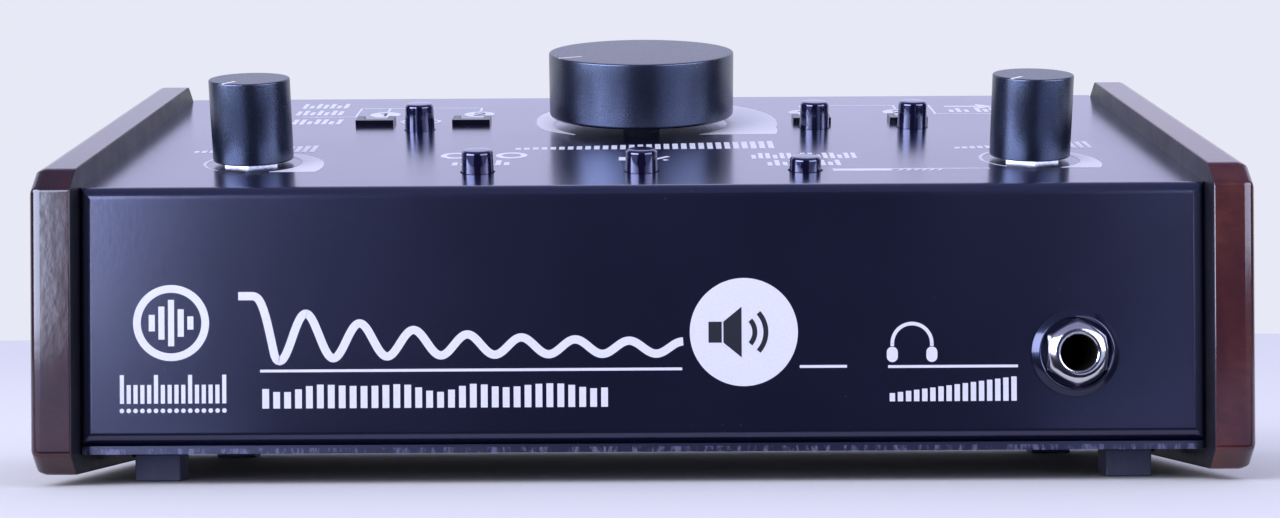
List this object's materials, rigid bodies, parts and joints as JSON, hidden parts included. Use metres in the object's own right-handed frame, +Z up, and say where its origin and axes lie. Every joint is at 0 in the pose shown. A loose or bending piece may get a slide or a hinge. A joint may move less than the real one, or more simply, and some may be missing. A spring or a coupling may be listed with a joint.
{
  "type": "desktop monitor controller",
  "caption": "Wedge-shaped studio monitor controller: folded black steel case between wooden cheeks, with volume and level knobs, push buttons, status lamps and a headphone socket.",
  "frame": {"origin": "centre of the bounding box at the underside of the feet, on the desk", "axes": "+X to the user's right along the width, +Y towards the rear, +Z up"},
  "size_m": [0.22, 0.1068, 0.0916],
  "materials": {
    "case_steel": "fine satin black powder coat",
    "cheek_wood": "dark red-brown stain under gloss lacquer",
    "foot_rubber": "matte",
    "plain_steel": "zinc plated",
    "dark_screw": "black oxide",
    "board_laminate": "solder mask",
    "brass": "plated",
    "black_plastic": "matte, moulded",
    "wire_insulation": "matte",
    "knob_metal": "satin black anodised, turned",
    "cap_plastic": "gloss",
    "plunger_plastic": "matte",
    "hood_plastic": "gloss",
    "lens_plastic": "smoked, clear",
    "chrome": "polished",
    "bezel_plastic": "gloss"
  },
  "bodies": {
    "case": {"chassis_shell": "case_steel", "rear_panel": "case_steel", "bottom_plate": "case_steel", "left_cheek": "cheek_wood", "right_cheek": "cheek_wood", "foot_front_left": "foot_rubber", "foot_front_right": "foot_rubber", "foot_rear_left": "foot_rubber", "foot_rear_right": "foot_rubber", "left_cheek_screws": "plain_steel", "right_cheek_screws": "plain_steel", "bottom_screws": "dark_screw", "main_board": "board_laminate", "board_standoffs": "brass", "board_screws": "plain_steel", "board_parts": "black_plastic", "rear_board": "board_laminate", "ribbon_cable": "wire_insulation", "headphone_wires": "wire_insulation", "volume_pot": "plain_steel", "volume_pot_nut": "plain_steel", "volume_pot_washer": "plain_steel", "source_pot": "plain_steel", "source_pot_nut": "plain_steel", "source_pot_washer": "plain_steel", "headphone_pot": "plain_steel", "headphone_pot_nut": "plain_steel", "headphone_pot_washer": "plain_steel", "switch_bodies": "black_plastic", "lamp_bezels": "hood_plastic", "lamp_lenses": "lens_plastic", "headphone_socket": "black_plastic", "headphone_socket_nut": "chrome", "headphone_socket_bezel": "bezel_plastic", "headphone_socket_contacts": "brass", "input_sockets": "black_plastic", "output_sockets": "black_plastic", "rear_socket_nuts": "plain_steel", "aux_socket": "black_plastic", "power_inlet": "black_plastic"},
    "volume": {"volume_knob": "knob_metal", "volume_knob_screw": "dark_screw", "volume_shaft": "plain_steel"},
    "source_level": {"source_knob": "knob_metal", "source_knob_screw": "dark_screw", "source_shaft": "plain_steel"},
    "headphone_level": {"headphone_knob": "knob_metal", "headphone_knob_screw": "dark_screw", "headphone_shaft": "plain_steel"},
    "mono_button": {"mono_cap": "cap_plastic", "mono_plunger": "plunger_plastic"},
    "mute_button": {"mute_cap": "cap_plastic", "mute_plunger": "plunger_plastic"},
    "solo_button": {"solo_cap": "cap_plastic", "solo_plunger": "plunger_plastic"},
    "input_button": {"input_cap": "cap_plastic", "input_plunger": "plunger_plastic"},
    "output_a_button": {"output_a_cap": "cap_plastic", "output_a_plunger": "plunger_plastic"},
    "output_b_button": {"output_b_cap": "cap_plastic", "output_b_plunger": "plunger_plastic"}
  },
  "joints": [
    {"name": "volume_turn", "type": "hinge", "parent": "case", "child": "volume", "pos_m": [0, 0.0157, 0.07161], "axis": [0, -0.2689, 0.9632], "range_deg": [-268, 32]},
    {"name": "source_level_turn", "type": "hinge", "parent": "case", "child": "source_level", "pos_m": [-0.0747, -0.02495, 0.06026], "axis": [0, -0.2689, 0.9632], "range_deg": [-300, 0]},
    {"name": "headphone_level_turn", "type": "hinge", "parent": "case", "child": "headphone_level", "pos_m": [0.0747, -0.02495, 0.06026], "axis": [0, -0.2689, 0.9632], "range_deg": [-288, 12]},
    {"name": "mono_press", "type": "slide", "parent": "case", "child": "mono_button", "axis": [0, -0.2689, 0.9632], "range_m": [-0.0022, 0], "stiffness_N_per_m": 500},
    {"name": "mute_press", "type": "slide", "parent": "case", "child": "mute_button", "axis": [0, -0.2689, 0.9632], "range_m": [-0.0022, 0], "stiffness_N_per_m": 500},
    {"name": "solo_press", "type": "slide", "parent": "case", "child": "solo_button", "axis": [0, -0.2689, 0.9632], "range_m": [-0.00064, 0.00156], "stiffness_N_per_m": 500},
    {"name": "input_press", "type": "slide", "parent": "case", "child": "input_button", "axis": [0, -0.2689, 0.9632], "range_m": [-0.0022, 0], "stiffness_N_per_m": 500},
    {"name": "output_a_press", "type": "slide", "parent": "case", "child": "output_a_button", "axis": [0, -0.2689, 0.9632], "range_m": [-0.0022, 0], "stiffness_N_per_m": 500},
    {"name": "output_b_press", "type": "slide", "parent": "case", "child": "output_b_button", "axis": [0, -0.2689, 0.9632], "range_m": [-0.0022, 0], "stiffness_N_per_m": 500}
  ]
}
